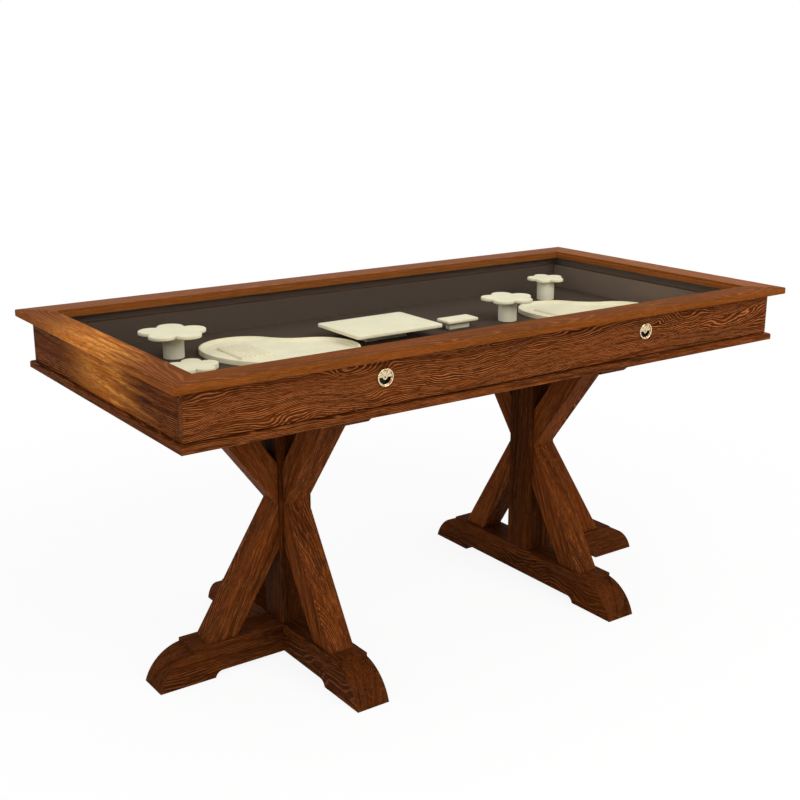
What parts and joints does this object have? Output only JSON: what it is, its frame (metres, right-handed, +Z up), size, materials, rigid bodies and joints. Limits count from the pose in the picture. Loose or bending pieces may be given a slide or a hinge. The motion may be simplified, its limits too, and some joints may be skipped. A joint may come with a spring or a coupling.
{
  "type": "display table with drawers",
  "caption": "Glass-topped shop display table: shallow lined case with a wide ring-pull drawer of jewellery trays, on braced wooden pedestals.",
  "frame": {"origin": "on the floor under the middle of the table", "axes": "+X along the table's length to the right as seen from the drawer side, -Y the front where the drawer opens, +Z up"},
  "size_m": [1.6, 0.8, 0.77],
  "materials": {
    "stained_wood": "open-grained hardwood, brown stain under satin lacquer",
    "dark_lining": "dark brown matt stain",
    "clear_glass": "clear float glass with ground edges",
    "pull_brass": "polished pale brass",
    "runner_steel": "zinc-plated sheet",
    "bolt_steel": "zinc-plated",
    "buffer_felt": "felt",
    "cream_covering": "cream leatherette over board"
  },
  "bodies": {
    "table": {"base_moulding_back": "stained_wood", "base_moulding_front": "stained_wood", "base_moulding_left": "stained_wood", "base_moulding_right": "stained_wood", "case_back": "stained_wood", "case_bottom": "stained_wood", "case_side_left": "stained_wood", "case_side_right": "stained_wood", "cleat_bolts": "bolt_steel", "drawer_buffers": "buffer_felt", "front_stretcher": "stained_wood", "glass_top": "clear_glass", "left_brace_lower_back": "stained_wood", "left_brace_lower_front": "stained_wood", "left_brace_lower_out": "stained_wood", "left_brace_upper_back": "stained_wood", "left_brace_upper_front": "stained_wood", "left_brace_upper_out": "stained_wood", "left_cleat_depth": "stained_wood", "left_cleat_out": "stained_wood", "left_foot_depth": "stained_wood", "left_foot_out": "stained_wood", "left_post": "stained_wood", "right_brace_lower_back": "stained_wood", "right_brace_lower_front": "stained_wood", "right_brace_lower_out": "stained_wood", "right_brace_upper_back": "stained_wood", "right_brace_upper_front": "stained_wood", "right_brace_upper_out": "stained_wood", "right_cleat_depth": "stained_wood", "right_cleat_out": "stained_wood", "right_foot_depth": "stained_wood", "right_foot_out": "stained_wood", "right_post": "stained_wood", "runner_outer_left": "runner_steel", "runner_outer_right": "runner_steel", "top_rail_back": "stained_wood", "top_rail_front": "stained_wood", "top_rail_left": "stained_wood", "top_rail_right": "stained_wood"},
    "drawer": {"centre_tray": "cream_covering", "drawer_back": "dark_lining", "drawer_bottom": "dark_lining", "drawer_front": "stained_wood", "drawer_side_left": "dark_lining", "drawer_side_right": "dark_lining", "flower_stand_left": "cream_covering", "flower_stand_rear": "cream_covering", "flower_stand_right": "cream_covering", "leaf_tray_left": "cream_covering", "leaf_tray_right": "cream_covering", "low_plates": "cream_covering", "pull_plate_left": "pull_brass", "pull_plate_right": "pull_brass", "runner_inner_left": "runner_steel", "runner_inner_right": "runner_steel"},
    "runner_left": {"runner_middle_left": "runner_steel"},
    "runner_right": {"runner_middle_right": "runner_steel"},
    "pull_left": {"pull_ring_left": "pull_brass"},
    "pull_right": {"pull_ring_right": "pull_brass"}
  },
  "joints": [
    {"name": "drawer_slide", "type": "slide", "parent": "table", "child": "drawer", "axis": [0, -1, 0], "range_m": [0, 0.55]},
    {"name": "runner_left_slide", "type": "slide", "parent": "table", "child": "runner_left", "axis": [0, -1, 0], "range_m": [0, 0.275]},
    {"name": "runner_right_slide", "type": "slide", "parent": "table", "child": "runner_right", "axis": [0, -1, 0], "range_m": [0, 0.275]},
    {"name": "pull_left_hinge", "type": "hinge", "parent": "drawer", "child": "pull_left", "pos_m": [-0.352, -0.3754, 0.7308], "axis": [-1, 0, 0], "range_deg": [0, 95]},
    {"name": "pull_right_hinge", "type": "hinge", "parent": "drawer", "child": "pull_right", "pos_m": [0.352, -0.3754, 0.7308], "axis": [-1, 0, 0], "range_deg": [0, 95]}
  ],
  "couplings": [
    {"joint": "runner_left_slide", "follows": "drawer_slide", "ratio": 0.5},
    {"joint": "runner_right_slide", "follows": "drawer_slide", "ratio": 0.5}
  ]
}
